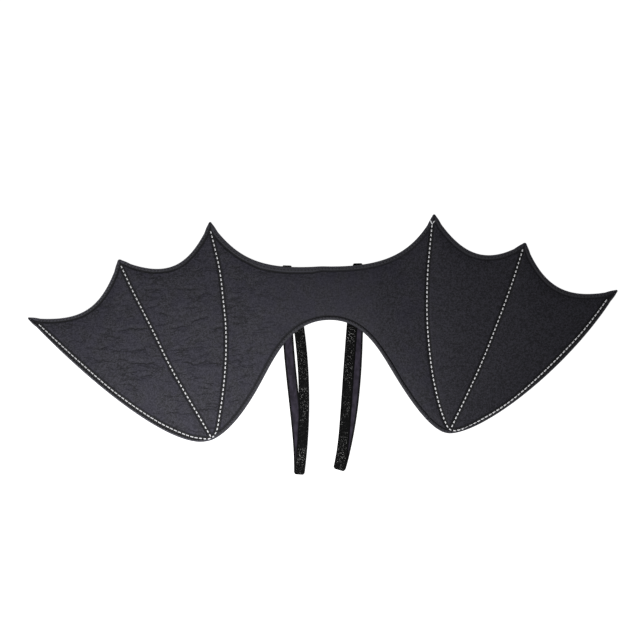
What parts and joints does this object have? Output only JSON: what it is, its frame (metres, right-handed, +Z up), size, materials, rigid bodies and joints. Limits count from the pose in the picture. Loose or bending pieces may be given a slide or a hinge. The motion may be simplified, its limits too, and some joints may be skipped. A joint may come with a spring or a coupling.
{
  "type": "costume bat wings",
  "caption": "Flat padded cloth bat wings with scalloped upper edges, taped edges, stitched ribs and folded elastic shoulder straps sewn behind the yoke.",
  "frame": {"origin": "on the surface that the wings lie on, under the centre of their box", "axes": "+X along the span to the right wing, +Y towards the neck edge, +Z up out of the surface, straps underneath"},
  "size_m": [0.59, 0.2568, 0.0078],
  "materials": {
    "wing_cloth": "matt charcoal cloth with a slight sheen, finely creased",
    "tape": "matt black woven tape",
    "strap_elastic": "black elastic, smooth on one face and plush on the other",
    "thread": "white two-ply sewing thread"
  },
  "bodies": {
    "root": {"wing_panel": "wing_cloth", "edge_binding": "tape", "shoulder_strap_left": "strap_elastic", "shoulder_strap_right": "strap_elastic"}
  },
  "joints": []
}
